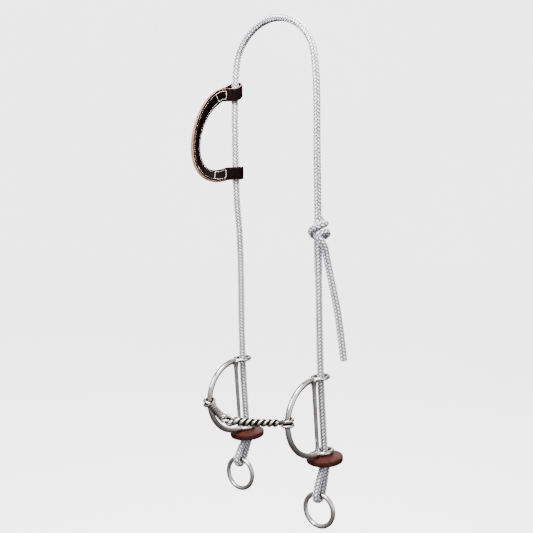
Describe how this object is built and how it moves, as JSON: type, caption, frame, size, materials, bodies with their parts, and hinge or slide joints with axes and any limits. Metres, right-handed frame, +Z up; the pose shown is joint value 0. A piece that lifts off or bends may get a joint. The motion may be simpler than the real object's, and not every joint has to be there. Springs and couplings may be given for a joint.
{
  "type": "draw gag headstall with a jointed mouthpiece",
  "caption": "Rope draw-gag headstall for a horse: rope over the poll with a sliding ear loop, D cheeks that slide on the rope, a jointed twisted-wire mouthpiece, stops and rein rings.",
  "frame": {"origin": "under the crown of the headstall rope, at the middle, where it rests on the horse's poll", "axes": "+Z up, +X to the horse's left (near side), -Y towards the horse's nose"},
  "size_m": [0.2021, 0.1275, 0.6133],
  "materials": {
    "rope": "braided nylon, white",
    "ear_leather": "smooth dark oxblood leather with tan cut edges",
    "ear_lining_leather": "soft dark leather lining",
    "cheek_steel": "satin stainless",
    "mouthpiece_steel": "satin twisted wire",
    "stop_leather": "red-brown harness leather",
    "ring_steel": "satin stainless"
  },
  "bodies": {
    "headstall": {"headstall_rope": "rope", "upper_splice": "rope", "near_lower_rope": "rope", "rope_tail": "rope", "knot_upper_turn": "rope", "knot_lower_turn": "rope", "near_rope_eye": "rope", "off_rope_eye": "rope"},
    "ear": {"ear_outer_layer": "ear_leather", "ear_lining": "ear_lining_leather", "ear_upper_loop": "ear_leather", "ear_lower_loop": "ear_leather"},
    "near_cheek": {"near_cheek_arc": "cheek_steel", "near_cheek_bar": "cheek_steel", "near_upper_loop": "cheek_steel", "near_lower_loop": "cheek_steel"},
    "near_arm": {"near_cheek_eye": "mouthpiece_steel", "near_centre_eye": "mouthpiece_steel", "near_arm_strand_a": "mouthpiece_steel", "near_arm_strand_b": "mouthpiece_steel"},
    "near_stop": {"near_stop": "stop_leather"},
    "near_ring": {"near_rein_ring": "ring_steel"},
    "off_cheek": {"off_cheek_arc": "cheek_steel", "off_cheek_bar": "cheek_steel", "off_upper_loop": "cheek_steel", "off_lower_loop": "cheek_steel"},
    "off_arm": {"off_cheek_eye": "mouthpiece_steel", "off_centre_eye": "mouthpiece_steel", "off_arm_strand_a": "mouthpiece_steel", "off_arm_strand_b": "mouthpiece_steel"},
    "off_stop": {"off_stop": "stop_leather"},
    "off_ring": {"off_rein_ring": "ring_steel"}
  },
  "joints": [
    {"name": "bit_slide", "type": "slide", "parent": "headstall", "child": "near_cheek", "axis": [0, -0.0523, 0.9986], "range_m": [0, 0.08]},
    {"name": "near_arm_swing", "type": "hinge", "parent": "near_cheek", "child": "near_arm", "pos_m": [0.0675, -0.04548, -0.46606], "axis": [0, -0.0872, 0.9962], "range_deg": [-8, 8]},
    {"name": "mouthpiece_fold", "type": "hinge", "parent": "near_arm", "child": "off_arm", "pos_m": [0, -0.07917, -0.46901], "axis": [0, -0.0872, 0.9962], "range_deg": [-16, 16]},
    {"name": "off_cheek_swing", "type": "hinge", "parent": "off_arm", "child": "off_cheek", "pos_m": [-0.0675, -0.04548, -0.46606], "axis": [0, -0.0872, 0.9962], "range_deg": [-17.5, 17.5]},
    {"name": "ear_slide", "type": "slide", "parent": "headstall", "child": "ear", "axis": [0, -0.0137, 0.9999], "range_m": [-0.015, 0.004]},
    {"name": "near_stop_turn", "type": "hinge", "parent": "headstall", "child": "near_stop", "pos_m": [0.0675, 0.01906, -0.51533], "axis": [0, -0.0872, 0.9962], "continuous": true},
    {"name": "near_ring_swing", "type": "hinge", "parent": "headstall", "child": "near_ring", "pos_m": [0.0675, 0.00974, -0.56303], "axis": [0.9903, 0.1392, 0], "range_deg": [-90, 90]},
    {"name": "off_stop_turn", "type": "hinge", "parent": "headstall", "child": "off_stop", "pos_m": [-0.0675, 0.01867, -0.51084], "axis": [0, -0.0872, 0.9962], "continuous": true},
    {"name": "off_ring_swing", "type": "hinge", "parent": "headstall", "child": "off_ring", "pos_m": [-0.0675, 0.00675, -0.54901], "axis": [0.9903, 0.1392, 0], "range_deg": [-90, 90]}
  ],
  "couplings": [
    {"joint": "mouthpiece_fold", "follows": "near_arm_swing", "ratio": -2},
    {"joint": "off_cheek_swing", "follows": "near_arm_swing", "ratio": 2.1274}
  ]
}
